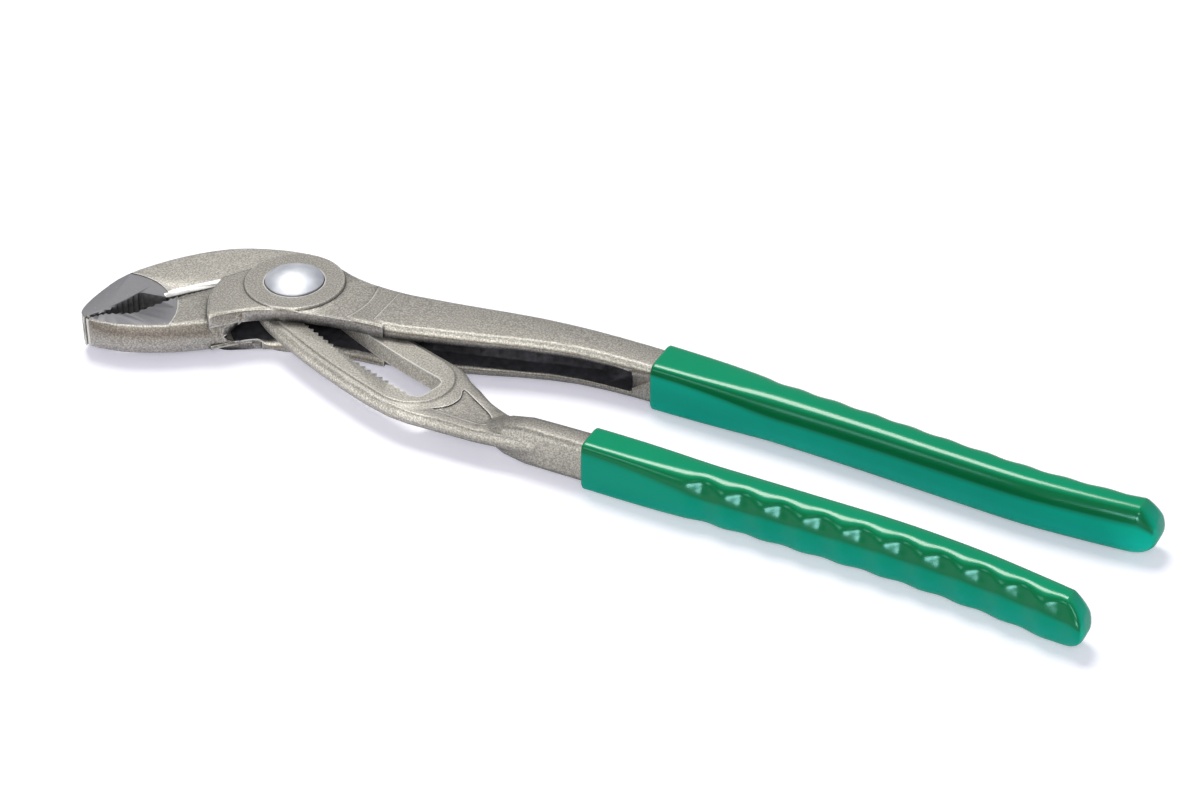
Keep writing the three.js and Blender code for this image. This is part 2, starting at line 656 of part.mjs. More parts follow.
// Raised pad round the slot, with a round end past the slot's own
function padOutline() {
  const near = BLADE_NEAR + PAD_NEAR_RIM;
  const far = BLADE_FAR - PAD_FAR_RIM;
  const middle = (near + far) / 2;
  const radius = (far - near) / 2;
  const centre = SLOT_END + PAD_END_WALL - radius;
  const end = [];
  for (let turn = 1; turn < 12; turn += 1) {
    const angle = -Math.PI / 2 + (turn * Math.PI) / 12;
    end.push(alongSlot(centre + radius * Math.cos(angle), middle + radius * Math.sin(angle)));
  }
  return [
    ...slotRun(-8, centre, near, 12),
    ...end,
    ...slotRun(centre, -4, far, 12),
    new THREE.Vector2(-9, 10.6),
    new THREE.Vector2(-20, 0),
    alongJaw(1, JAW_GAP / 2 + 0.4),
  ];
}

// Far jaw, whose inner edge runs round the boss and past the corner of the cheeks
function backJaw() {
  const outer = smooth([
    [-38.2, -31.4], [-40.1, -28.8], [-40.3, -21], [-38.5, -11.4], [-31, 0.3], [-22, 8.7], [-12, 13.1],
    [-4, 14.7],
  ], 26);
  const edge = CHEEK_CORNER.clone().sub(new THREE.Vector2(-11.4, 3.1)).normalize();
  const clear = new THREE.Vector2(edge.y, -edge.x).multiplyScalar(TURNING_CLEARANCE);
  const corner = CHEEK_CORNER.clone().add(clear);
  const outline = [
    ...outer,
    ...arcAboutBolt(BOSS_RADIUS + TURNING_CLEARANCE, 99, 163, 8),
    corner,
    new THREE.Vector2(CHEEK_CORNER.x - TURNING_CLEARANCE, CHEEK_CORNER.y - 0.6),
    new THREE.Vector2(CHEEK_CORNER.x - TURNING_CLEARANCE, CHEEK_CORNER.y - 5),
    alongJaw(4, -4),
    alongJaw(JAW_LENGTH + 0.6, -4),
    alongJaw(JAW_LENGTH + 1, -1),
  ];
  const slab = forging(outline, JAW_THICKNESS);
  return slab.subtract(groundFaces(-35.5, -27, 16)).subtract(jawBevels());
}

// Slopes that bring the back jaw down to its straight row of teeth, above and below
function jawBevels() {
  const top = JAW_THICKNESS / 2;
  const profile = (side) => new THREE.Shape([
    new THREE.Vector2(-2, side * (top - BEVEL_DEPTH * (1 + 2 / BEVEL_WIDTH))),
    new THREE.Vector2(BEVEL_WIDTH + 2, side * (top + (2 * BEVEL_DEPTH) / BEVEL_WIDTH)),
    new THREE.Vector2(-2, side * (top + (2 * BEVEL_DEPTH) / BEVEL_WIDTH)),
  ]);
  const across = new THREE.Vector3(JAW_ACROSS.x, JAW_ACROSS.y, 0);
  const up = new THREE.Vector3(0, 0, 1);
  const back = new THREE.Vector3().crossVectors(across, up);
  const start = alongJaw(RECESS_START + 0.8, 0);
  const frame = new THREE.Matrix4().makeBasis(across, up, back).setPosition(start.x, start.y, MID_Z);
  const cuts = [1, -1].map((side) => {
    const strip = new THREE.ExtrudeGeometry(profile(side), { depth: RECESS_START + 6, bevelEnabled: false });
    return solid(strip.applyMatrix4(frame));
  });
  return cuts[0].add(cuts[1]);
}

function slottedArm() {
  const web = forging(webOutline(), WEB_THICKNESS, DRAFT_WIDTH, DRAFT_HEIGHT).subtract(neckFields());
  const pad = forging(padOutline(), BLADE_THICKNESS, (BLADE_THICKNESS - WEB_THICKNESS) / 2);
  const jaw = backJaw();
  const bar = handleBar(SLOTTED_RUN, 64, WEB_THICKNESS, 72);
  return web.add(pad).add(jaw).add(bar).subtract(slotCut()).subtract(mouthCut(1));
}

// Toothed collar of the bolt, which fills the slot's width
function collarOutline() {
  const half = COLLAR_LENGTH / 2;
  const far = SLOT_FAR - SLIDING_CLEARANCE;
  const cut = SLOT_CORNER - 0.4;
  const tip = RACK_ROOT + SLIDING_CLEARANCE;
  const root = RACK_TIP + SLIDING_CLEARANCE;
  const count = Math.floor((half - cut / 2) / NOTCH_PITCH);
  const mesh = [alongSlot((-count - 0.5) * NOTCH_PITCH, root)];
  for (let notch = -count; notch <= count; notch += 1) {
    mesh.push(alongSlot(notch * NOTCH_PITCH, tip));
    mesh.push(alongSlot((notch + 0.5) * NOTCH_PITCH, root));
  }
  return [
    alongSlot(-half, root + cut),
    ...mesh,
    alongSlot(half, root + cut),
    alongSlot(half, far - cut),
    ...slotRun(half - cut, cut - half, far, 4),
    alongSlot(-half, far - cut),
  ];
}

function pushBolt() {
  const rim = BOSS_TOP + HEAD_STANDING;
  const radius = HEAD_DIAMETER / 2;
  const sphere = (radius ** 2 + DOME_HEIGHT ** 2) / (2 * DOME_HEIGHT);
  const sweep = Math.asin(radius / sphere);
  const dome = [];
  for (let step = 0; step < DOME_STEPS; step += 1) {
    const angle = sweep * (1 - step / DOME_STEPS);
    dome.push([sphere * Math.sin(angle), rim + DOME_HEIGHT - sphere * (1 - Math.cos(angle))]);
  }
  const clipTop = BOSS_BOTTOM + CLIP_RECESS;
  const clipLow = clipTop - CLIP_THICKNESS - 2 * BOLT_CLEARANCE;
  const shank = SHANK_DIAMETER / 2;
  const groove = GROOVE_DIAMETER / 2;
  const neck = NECK_DIAMETER / 2;
  const collarLow = MID_Z + 0.1;
  const drumLow = rim - HEAD_STANDING - DRUM_DEPTH;
  const core = turned([
    [0, BOSS_BOTTOM + BOLT_END_STANDOFF], [shank, BOSS_BOTTOM + BOLT_END_STANDOFF], [shank, clipLow],
    [groove, clipLow], [groove, clipTop], [shank, clipTop], [shank, collarLow + 0.5],
    [neck, collarLow + 0.5], [neck, drumLow], [radius, drumLow], ...dome, [0, rim + DOME_HEIGHT],
  ], 60);
  return core.add(prism(collarOutline(), collarLow, BLADE_TOP));
}

// Split ring in the groove at the bolt's lower end
function boltClip() {
  const ring = new THREE.Shape();
  const inner = GROOVE_DIAMETER / 2 + BOLT_CLEARANCE / 2;
  ring.absarc(0, 0, CLIP_DIAMETER / 2, CLIP_MOUTH / 2, 2 * Math.PI - CLIP_MOUTH / 2);
  ring.absarc(0, 0, inner, 2 * Math.PI - CLIP_MOUTH / 2, CLIP_MOUTH / 2, true);
  const geometry = new THREE.ExtrudeGeometry(ring, {
    depth: CLIP_THICKNESS,
    bevelEnabled: false,
    curveSegments: 24,
  });
  const low = BOSS_BOTTOM + CLIP_RECESS - CLIP_THICKNESS - BOLT_CLEARANCE;
  return solid(geometry.translate(0, 0, low));
}

// Coil spring between the floor of its pocket and the underside of the bolt's collar
function boltSpring() {
  const wire = SPRING_WIRE / 2;
  const low = BOSS_BOTTOM + CLIP_RECESS + LOWER_WEB + wire + BOLT_CLEARANCE;
  const high = MID_Z + 0.1 - wire - BOLT_CLEARANCE;
  const steps = Math.round(SPRING_TURNS * 20);
  const path = [];
  for (let i = 0; i <= steps; i += 1) {
    const angle = (SPRING_TURNS * 2 * Math.PI * i) / steps;
    const reach = SPRING_DIAMETER / 2;
    const z = low + ((high - low) * i) / steps;
    path.push(new THREE.Vector3(reach * Math.cos(angle), reach * Math.sin(angle), z));
  }
  const section = new THREE.Shape(new THREE.EllipseCurve(0, 0, wire, wire).getPoints(8).slice(0, 8));
  return solid(new THREE.ExtrudeGeometry(section, {
    steps,
    extrudePath: new THREE.CatmullRomCurve3(path),
  }));
}

function boxedGrip() {
  const sleeve = grip(BOXED_RUN, BOXED_GRIP_START_X, BOXED_GRIP_END_X, 1);
  const rootX = CHEEK_END_X - 3;
  const tang = handleBar(BOXED_RUN, rootX, HANDLE_ROOT_THICKNESS, BOXED_GRIP_START_X, GRIP_CLEARANCE);
  return sleeve.subtract(tang);
}

function slottedGrip() {
  const sleeve = grip(SLOTTED_RUN, SLOTTED_GRIP_START_X, SLOTTED_GRIP_END_X, -1);
  const tang = handleBar(SLOTTED_RUN, 64, WEB_THICKNESS, 72, GRIP_CLEARANCE);
  return sleeve.subtract(tang);
}

const pliers = new THREE.Group();
pliers.add(piece('boxed_arm', boxedArm(), FORGED_STEEL));
pliers.add(piece('slotted_arm', slottedArm(), FORGED_STEEL));
pliers.add(piece('push_bolt', pushBolt(), POLISHED_STEEL));
pliers.add(piece('bolt_spring', boltSpring(), SPRING_STEEL));
pliers.add(piece('bolt_clip', boltClip(), SPRING_STEEL));
pliers.add(piece('boxed_arm_grip', boxedGrip(), GREEN_PLASTIC));
pliers.add(piece('slotted_arm_grip', slottedGrip(), GREEN_PLASTIC));

export default pliers;
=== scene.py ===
"""Looks of the water pump pliers: dressed forgings, smooth grips, materials, studio and camera.

Metres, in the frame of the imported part: the joint bolt on the Z axis, +X to the handles, Z = 0 the floor.
"""
import math

import bmesh
import bpy
import numpy as np
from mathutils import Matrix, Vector


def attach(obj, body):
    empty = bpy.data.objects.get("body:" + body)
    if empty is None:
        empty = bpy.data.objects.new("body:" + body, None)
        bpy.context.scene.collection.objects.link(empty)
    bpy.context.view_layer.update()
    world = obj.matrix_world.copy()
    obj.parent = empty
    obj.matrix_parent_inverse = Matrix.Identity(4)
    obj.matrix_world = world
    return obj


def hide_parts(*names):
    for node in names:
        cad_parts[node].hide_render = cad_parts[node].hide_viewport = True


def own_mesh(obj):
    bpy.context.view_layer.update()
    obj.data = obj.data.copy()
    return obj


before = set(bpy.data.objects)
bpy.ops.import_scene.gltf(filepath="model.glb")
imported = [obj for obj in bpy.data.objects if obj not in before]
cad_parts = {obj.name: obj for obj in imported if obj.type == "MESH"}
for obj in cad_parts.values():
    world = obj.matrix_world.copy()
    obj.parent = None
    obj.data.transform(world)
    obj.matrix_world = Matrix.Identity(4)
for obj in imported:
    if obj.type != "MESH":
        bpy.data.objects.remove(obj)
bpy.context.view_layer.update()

MM = 0.001
MID_Z = 6.2

# Places on the forgings, in millimetres, where the finish changes
BACK_GROUND = ((-35.5, -27.0), 16.0)
FRONT_GROUND = ((-36.0, -27.0), 17.6)
GROUND_HALF_HEIGHT = 3.85
GROUND_MARGIN = 0.2
JAW_HEEL = np.array((-18.0, -9.0))
JAW_TIP = np.array((-37.5, -31.7))
JAW_LENGTH = np.linalg.norm(JAW_TIP - JAW_HEEL)
JAW_ALONG = (JAW_TIP - JAW_HEEL) / JAW_LENGTH
JAW_ACROSS = np.array((JAW_ALONG[1], -JAW_ALONG[0]))
BACK_MOUTH_DEPTH = 5.6
FRONT_MOUTH_DEPTH = 3.4
MOUTH_TIP_MARGIN = 1.0
SLOPE_RUN = (-6.0, 10.6)
SLOPE_BAND = (-0.5, 3.2)
# Scale of the painted shade across the slope beside the teeth
SLOPE_REACH = 4.0
CHANNEL_END_X = 86.5
WINDOW_LEFT_X = -9.9
WINDOW_DEPTH = 4.0
WINDOW_FLOOR_Y = -12.0
INNER_HALF_HEIGHT = 2.62
HANDLED_START_X = 46.0
HANDLED_END_X = 62.0

# Welding and shading of the copied meshes
WELD_GAP = 2e-6
SHARP_ANGLE = math.radians(32)

# Grips, in millimetres: X, centre line Y and width of the steel bar inside
BOXED_RUN = (
    (80, 9.8, 9.4), (92, 9.6, 9.1), (122, 8.0, 7.8), (142, 6.5, 7.0), (162, 4.7, 6.4), (180, 3.3, 5.9),
    (194, 3.3, 5.3), (208, 3.9, 4.9), (214, 4.2, 4.8),
)
SLOTTED_RUN = (
    (80, -25.45, 6.4), (92, -25.5, 6.6), (122, -26.0, 6.6), (142, -26.4, 6.4), (162, -27.0, 6.2),
    (180, -28.7, 5.7), (194, -31.0, 5.1), (208, -33.8, 4.7), (214, -35.0, 4.6),
)
BOXED_GRIP_SPAN = (89.6, 210.5)
SLOTTED_GRIP_SPAN = (88.9, 207.2)
GRIP_WALL = 1.15
GRIP_THICKNESS = 12.4
TANG_THICKNESS = 10.0
TANG_END_X = 199.0
TANG_GAP = 0.1
TANG_POWER = 8
GRIP_LIP = 0.7
GRIP_NOSE = 5.0
GRIP_HEEL = 7.0
NOSE_HEIGHT = 6.0
NOSE_THICKNESS = 2.4
NOSE_WIDTH = 0.3
NOSE_ROUNDING = 1.3
NOSE_TIP = 0.03
RIPPLE_START_X = 118.6
RIPPLE_COUNT = 10
RIPPLE_PITCH = 9.2
RIPPLE_SWELL = 0.5
RIPPLE_DEPTH = 0.7
FAR_RIPPLE_DEPTH = 0.5
DIMPLE_DEPTH = 0.5
FAR_DIMPLE_DEPTH = 0.15
DIMPLE_LENGTH = 2.0
DIMPLE_HEIGHT = 1.2
DIMPLE_Z = 10.2
GRIP_FULLNESS = 0.5
FRONT_POWER = 6.0
OVAL_POWER = 2.9
OVAL_RUN = 32.0
RING_POINTS = 96
LIP_STATIONS = 6
GRIP_STATIONS = 270
NOSE_STATIONS = 40
TANG_STATIONS = 60

# Studio, in metres
STUDIO_MIDDLE = (0.085, -0.01, 0.006)
FLOOR_REACH = 6.0
FLOOR_DROP = 0.0002
FLOOR_LIFT = 0.37

# Camera of the photograph
CAMERA_PLACE = Vector((350.1, -556.0, 435.3)) * MM
CAMERA_AIM = Vector((-0.3587, 0.7364, -0.5736)) + 0.00045 * Vector((-0.2512, 0.5156, 0.8192))
CAMERA_AZIMUTH = 25.97
CAMERA_LENS = 100
CAMERA_SENSOR = 36


def add_node(tree, kind, place, **inputs):
    """A shader node with some of its inputs set by name."""
    node = tree.nodes.new(kind)
    node.location = place
    for name, value in inputs.items():
        node.inputs[name.replace("_", " ")].default_value = value
    return node


def new_material(name):
    """An empty Principled material and its tree, shader and object coordinates."""
    material = bpy.data.materials.new(name)
    material.use_nodes = True
    tree = material.node_tree
    shader = tree.nodes["Principled BSDF"]
    coords = add_node(tree, "ShaderNodeTexCoord", (-1200, 0))
    return material, tree, shader, coords.outputs["Object"]


def noise(tree, vector, place, scale, detail=2.0, roughness=0.5):
    """A noise texture's value output."""
    node = add_node(tree, "ShaderNodeTexNoise", place, Scale=scale, Detail=detail, Roughness=roughness)
    tree.links.new(vector, node.inputs["Vector"])
    return node.outputs["Fac"]


def ramp(tree, value, place, stops):
    """A colour ramp through (position, grey or colour) stops."""
    node = tree.nodes.new("ShaderNodeValToRGB")
    node.location = place
    elements = node.color_ramp.elements
    while len(elements) < len(stops):
        elements.new(0.5)
    for element, (position, colour) in zip(elements, stops):
        element.position = position
        element.color = (*((colour,) * 3 if isinstance(colour, float) else colour), 1.0)
    tree.links.new(value, node.inputs["Fac"])
    return node.outputs["Color"]


def mix(tree, factor, first, second, place, blend="MIX"):
    """Two colours mixed by a factor that is a socket or a number."""
    node = tree.nodes.new("ShaderNodeMix")
    node.data_type = "RGBA"
    node.blend_type = blend
    node.location = place
    for socket, value in ((node.inputs[0], factor), (node.inputs[6], first), (node.inputs[7], second)):
        if isinstance(value, bpy.types.NodeSocket):
            tree.links.new(value, socket)
        else:
            socket.default_value = value if isinstance(value, (int, float)) else (*value, 1.0)
    return node.outputs[2]


def bump(tree, height, shader, strength, distance, normal=None):
    """A bump on the shader's normal, over another normal if one is given."""
    node = add_node(tree, "ShaderNodeBump", (-250, -400), Strength=strength, Distance=distance)
    tree.links.new(height, node.inputs["Height"])
    if normal is not None:
        tree.links.new(normal, node.inputs["Normal"])
    tree.links.new(node.outputs["Normal"], shader.inputs["Normal"])


def rounded_edges(tree, radius):
    """A normal that rounds sharp edges off by a small radius."""
    node = add_node(tree, "ShaderNodeBevel", (-500, -600), Radius=radius)
    node.samples = 6
    return node.outputs["Normal"]


def closeness(tree, place, distance, inside):
    """How open a spot is: less than 1 in crevices, or along outer edges when traced inside."""
    node = add_node(tree, "ShaderNodeAmbientOcclusion", place, Distance=distance)
    node.samples = 8
    node.inside = inside
    node.only_local = True
    return node.outputs["AO"]


def facing(tree, place):
    """X, Y and Z outputs of a surface's direction."""
    geometry = add_node(tree, "ShaderNodeNewGeometry", place)
    split = add_node(tree, "ShaderNodeSeparateXYZ", (place[0] + 180, place[1]))
    tree.links.new(geometry.outputs["Normal"], split.inputs[0])
    return split.outputs


def tilt(tree, axes, place):
    """How far a surface faces up: 0 straight down, 0.5 upright, 1 straight up."""
    node = add_node(tree, "ShaderNodeMath", place)
    node.operation = "MULTIPLY_ADD"
    node.inputs[1].default_value = 0.5
    node.inputs[2].default_value = 0.5
    tree.links.new(axes["Z"], node.inputs[0])
    return node.outputs[0]


# Painted light and shade of each forging over the tilt of its surface, drawn separately for each forging
BOXED_PAINTED_LIGHT = (
    (0.44, (1.08, 1.08, 1.16)), (0.5, (0.92, 0.9, 0.9)), (0.56, (0.5, 0.45, 0.42)),
    (0.65, (0.7, 0.67, 0.63)), (0.76, (1.7, 1.7, 1.66)), (0.88, (1.7, 1.7, 1.68)), (0.97, 0.9),
)
SLOTTED_PAINTED_LIGHT = (
    (0.44, (1.2, 1.2, 1.24)), (0.5, (1.55, 1.55, 1.54)), (0.56, (1.85, 1.84, 1.81)),
    (0.65, (2.0, 2.0, 1.96)), (0.76, (1.8, 1.8, 1.77)), (0.88, (1.5, 1.5, 1.48)), (0.97, 1.12),
)

# How much of its brightness each handle keeps
BOXED_HANDLE_LEVEL = 0.97
SLOTTED_HANDLE_LEVEL = 0.68


def blasted_steel(name, tilt_light_stops, handled):
    """Grey bead-blasted forging: grain over soft blotches, painted light and shade by tilt, painted
    highlights along outer edges, painted shade in crevices, a darker handle.
    """
    material, tree, shader, vector = new_material(name)
    grain = noise(tree, vector, (-900, 300), 2500, 2, 0.6)
    blotch = noise(tree, vector, (-900, 0), 260, 3, 0.6)
    fine = ramp(tree, grain, (-650, 300), (
        (0.34, (0.255, 0.24, 0.208)), (0.5, (0.375, 0.36, 0.322)), (0.66, (0.54, 0.525, 0.48))))
    soft = ramp(tree, blotch, (-650, 0), ((0.35, 0.93), (0.65, 1.0)))
    plain = mix(tree, 1.0, fine, soft, (-350, 200), "MULTIPLY")
    # Painted light and shade: each face drawn lighter or darker by how far it faces up
    lean = tilt(tree, facing(tree, (-1200, 1200)), (-800, 1200))
    tone = ramp(tree, lean, (-650, 1200), tilt_light_stops)
    clean = mix(tree, 1.0, plain, tone, (-250, 300), "MULTIPLY")
    # Drawn darker along the handle, from HANDLED_START_X onwards
    split = add_node(tree, "ShaderNodeSeparateXYZ", (-1000, 1500))
    tree.links.new(vector, split.inputs[0])
    along = add_node(tree, "ShaderNodeMapRange", (-800, 1500))
    along.inputs["From Min"].default_value = HANDLED_START_X * MM
    along.inputs["From Max"].default_value = HANDLED_END_X * MM
    tree.links.new(split.outputs["X"], along.inputs["Value"])
    handle_dimming = ramp(tree, along.outputs[0], (-600, 1500), ((0.0, 1.0), (1.0, handled)))
    toned = mix(tree, 1.0, clean, handle_dimming, (-200, 300), "MULTIPLY")
    # Painted highlights along outer edges
    edges = closeness(tree, (-900, 600), 0.0005, True)
    painted_edge_highlight = ramp(tree, edges, (-650, 600), ((0.55, 0.8), (0.93, 0.0)))
    edge_highlighted = mix(tree, painted_edge_highlight, toned, (0.9, 0.89, 0.86), (-150, 350))
    # Painted shade in crevices and at the feet of steps
    corners = closeness(tree, (-900, 900), 0.0013, False)
    painted_crevice_shade = ramp(tree, corners, (-650, 900), ((0.66, 0.1), (0.97, 1.0)))
    colour = mix(tree, 1.0, edge_highlighted, painted_crevice_shade, (-50, 500), "MULTIPLY")
    tree.links.new(colour, shader.inputs["Base Color"])
    shader.inputs["Metallic"].default_value = 0.6
    shader.inputs["Roughness"].default_value = 0.46
    bump(tree, grain, shader, 0.5, 0.0001, rounded_edges(tree, 0.00012))
    return material


def ground_steel():
    """Flat ground jaw sides: even darker grey with faint grinding lines."""
    material, tree, shader, vector = new_material("ground_steel")
    stretch = add_node(tree, "ShaderNodeMapping", (-1050, 200))
    stretch.inputs["Rotation"].default_value = (0, 0, math.radians(-38))
    stretch.inputs["Scale"].default_value = (1, 14, 1)
    tree.links.new(vector, stretch.inputs["Vector"])
    lines = noise(tree, stretch.outputs["Vector"], (-850, 200), 700, 3, 0.6)
    specks = noise(tree, vector, (-850, -100), 1500, 1)
    base = ramp(tree, lines, (-600, 200), ((0.3, (0.215, 0.213, 0.225)), (0.7, (0.27, 0.268, 0.28))))
    bright = ramp(tree, specks, (-600, -100), ((0.76, 0.0), (0.8, 1.0)))
    colour = mix(tree, bright, base, (0.6, 0.6, 0.62), (-300, 100))
    tree.links.new(colour, shader.inputs["Base Color"])
    shader.inputs["Metallic"].default_value = 0.6
    shader.inputs["Roughness"].default_value = 0.5
    bump(tree, lines, shader, 0.12, 0.00005, rounded_edges(tree, 0.00015))
    return material


def bright_steel():
    """The freshly ground slope beside the straight row of teeth, with painted shade where it nears the
    teeth.
    """
    material, tree, shader, vector = new_material("bright_steel")
    grain = noise(tree, vector, (-900, 200), 900, 2)
    clean = ramp(tree, grain, (-600, 200), ((0.3, (0.78, 0.77, 0.74)), (0.7, (0.92, 0.91, 0.88))))
    # Painted shade: the slope darkens where it nears the teeth
    reach = add_node(tree, "ShaderNodeVectorMath", (-900, -100))
    reach.operation = "DOT_PRODUCT"
    reach.inputs[1].default_value = Vector((*JAW_ACROSS, 0)) / MM / SLOPE_REACH
    tree.links.new(vector, reach.inputs[0])
    start = add_node(tree, "ShaderNodeMath", (-700, -100))
    start.operation = "SUBTRACT"
    start.inputs[1].default_value = float(JAW_HEEL @ JAW_ACROSS) / SLOPE_REACH
    tree.links.new(reach.outputs["Value"], start.inputs[0])
    painted_foot_shade = ramp(tree, start.outputs[0], (-500, -100), ((0.33, 0.05), (0.39, 1.0)))
    colour = mix(tree, 1.0, clean, painted_foot_shade, (-300, 100), "MULTIPLY")
    tree.links.new(colour, shader.inputs["Base Color"])
    shader.inputs["Metallic"].default_value = 0.5
    shader.inputs["Roughness"].default_value = 0.5
    bump(tree, grain, shader, 0.1, 0.00005, rounded_edges(tree, 0.00015))
    return material


def dark_steel():
    """Unblasted inside of the box and channel, left black from the furnace."""
    material, tree, shader, vector = new_material("dark_steel")
    grain = noise(tree, vector, (-900, 200), 700, 3)
    colour = ramp(tree, grain, (-600, 200), ((0.35, (0.035, 0.034, 0.042)), (0.75, (0.075, 0.072, 0.085))))
    tree.links.new(colour, shader.inputs["Base Color"])
    shader.inputs["Metallic"].default_value = 0.2
    shader.inputs["Roughness"].default_value = 0.6
    bump(tree, grain, shader, 0.2, 0.00008)
    return material


def toothed_steel():
    """Cut walls of the mouth: dull dark grey on the tooth crests, with painted shade that goes black
    between them.
    """
    material, tree, shader, vector = new_material("toothed_steel")
    grain = noise(tree, vector, (-900, 200), 900, 2)
    cut = ramp(tree, grain, (-600, 200), ((0.3, (0.11, 0.108, 0.11)), (0.7, (0.19, 0.187, 0.19))))
    # Painted shade between the teeth
    corners = closeness(tree, (-900, 500), 0.002, False)
    painted_tooth_shade = ramp(tree, corners, (-600, 500), ((0.42, 0.02), (0.85, 1.0)))
    colour = mix(tree, 1.0, cut, painted_tooth_shade, (-300, 200), "MULTIPLY")
    tree.links.new(colour, shader.inputs["Base Color"])
    shader.inputs["Metallic"].default_value = 0.5
    shader.inputs["Roughness"].default_value = 0.5
    bump(tree, grain, shader, 0.15, 0.00006)
    return material


def polished_steel():
    """Domed head of the bolt: satin-bright with faint turning marks."""
    material, tree, shader, vector = new_material("polished_steel")
    haze = noise(tree, vector, (-900, 200), 260, 3, 0.6)
    colour = ramp(tree, haze, (-600, 200), ((0.3, (0.62, 0.64, 0.69)), (0.7, (0.76, 0.78, 0.82))))
    tree.links.new(colour, shader.inputs["Base Color"])
    shine = ramp(tree, haze, (-600, -100), ((0.3, 0.5), (0.7, 0.58)))
    tree.links.new(shine, shader.inputs["Roughness"])
    shader.inputs["Metallic"].default_value = 1.0
    bump(tree, haze, shader, 0.04, 0.0001, rounded_edges(tree, 0.0003))
    return material


def wire_steel():
    """Grey drawn wire of the spring and retaining ring."""
    material, tree, shader, vector = new_material("wire_steel")
    grain = noise(tree, vector, (-900, 200), 900, 2)
    colour = ramp(tree, grain, (-600, 200), ((0.3, (0.3, 0.31, 0.33)), (0.7, (0.45, 0.46, 0.48))))
    tree.links.new(colour, shader.inputs["Base Color"])
    shader.inputs["Metallic"].default_value = 1.0
    shader.inputs["Roughness"].default_value = 0.35
    return material


# Painted reflection on each grip's lower side over the tilt of its surface, and painted light on the noses
# that face the handle ends; the far grip is painted lighter below
NEAR_GRIP_PAINTED_LIGHT = ((0.2, (0.9, 1.0, 1.6)), (0.45, (0.7, 0.74, 1.25)), (0.52, (0.6, 0.68, 0.95)))
FAR_GRIP_PAINTED_LIGHT = ((0.2, (0.9, 1.6, 2.8)), (0.45, (0.7, 1.28, 2.3)), (0.52, (0.6, 1.1, 1.75)))
NOSE_PAINTED_LIGHT = (0.9, 1.2, 1.8)


def green_plastic(name, lower_side_light):
    """Glossy dipped plastic: deep green with painted shade on its shoulders, and painted reflections
    lighter on top, below and at the nose.
    """
    material, tree, shader, vector = new_material(name)
    cloud = noise(tree, vector, (-900, 200), 45, 2)
    base = ramp(tree, cloud, (-600, 200), ((0.3, (0.002, 0.3, 0.125)), (0.7, (0.003, 0.33, 0.14))))
    # Painted shade on the shoulders and painted reflections on top and below, by how far the surface faces
    # up
    axes = facing(tree, (-1150, 450))
    lean = tilt(tree, axes, (-750, 450))
    grip_tilt_light = ramp(tree, lean, (-600, 450), lower_side_light + (
        (0.58, (0.36, 0.38, 0.26)), (0.85, (0.45, 0.46, 0.34)), (0.97, (0.8, 0.95, 1.0))))
    # Painted light on the noses, which face the handle ends
    end_on = ramp(tree, axes["X"], (-600, 950), ((0.4, 0.0), (0.75, 1.0)))
    shade = mix(tree, end_on, grip_tilt_light, NOSE_PAINTED_LIGHT, (-450, 600))
    colour = mix(tree, 1.0, base, shade, (-300, 300), "MULTIPLY")
    tree.links.new(colour, shader.inputs["Base Color"])
    dust = noise(tree, vector, (-900, -100), 2500, 2)
    shine = ramp(tree, dust, (-600, -100), ((0.3, 0.19), (0.8, 0.25)))
    tree.links.new(shine, shader.inputs["Roughness"])
    shader.inputs["IOR"].default_value = 1.5
    gloss = ramp(tree, lean, (-600, 700), (
        (0.52, (0.03, 0.8, 0.8)), (0.6, (0.4, 1.0, 1.0)), (0.9, (0.5, 1.0, 1.0)),
        (0.965, 1.0), (0.993, 1.0), (0.999, (0.1, 1.0, 1.0))))
    tree.links.new(gloss, shader.inputs["Specular Tint"])
    wave = noise(tree, vector, (-900, -400), 130, 1)
    bump(tree, wave, shader, 0.1, 0.0004)
    return material


def run_at(run, x):
    """Centre line Y and width at X, by cubic pieces through the run's stations."""
    table = np.array(run, float)
    k = int(np.clip(np.searchsorted(table[:, 0], x) - 1, 1, len(table) - 3))
    x0, x1, x2, x3 = table[k - 1:k + 3, 0]
    p0, p1, p2, p3 = table[k - 1:k + 3, 1:]
    t = (x - x1) / (x2 - x1)
    m1 = (p2 - p0) / (x2 - x0) * (x2 - x1)
    m2 = (p3 - p1) / (x3 - x1) * (x2 - x1)
    return ((2 * t**3 - 3 * t**2 + 1) * p1 + (t**3 - 2 * t**2 + t) * m1
            + (3 * t**2 - 2 * t**3) * p2 + (t**3 - t**2) * m2)


def smooth_step(value, low, high):
    """0 before low, 1 after high, and an easy rise between."""
    t = min(max((value - low) / (high - low), 0.0), 1.0)
    return t * t * (3 - 2 * t)


def push_at(x, z, start, ripple, hollow):
    """How far a grip's outer side stands out: a slight swell, drawn in at each finger dimple."""
    swell = RIPPLE_SWELL * smooth_step(x, start, RIPPLE_START_X - RIPPLE_PITCH / 2)
    way = (x - RIPPLE_START_X) / RIPPLE_PITCH
    nearest = min(max(round(way), 0), RIPPLE_COUNT - 1)
    apart = (way - nearest) * RIPPLE_PITCH
    groove = ripple * (1 + math.cos(min(abs(apart) / RIPPLE_PITCH, 0.5) * 2 * math.pi)) / 2
    spread = (apart / DIMPLE_LENGTH) ** 2 + ((z - DIMPLE_Z) / DIMPLE_HEIGHT) ** 2
    bowl = hollow * math.exp(-spread / 2)
    return swell - groove - bowl


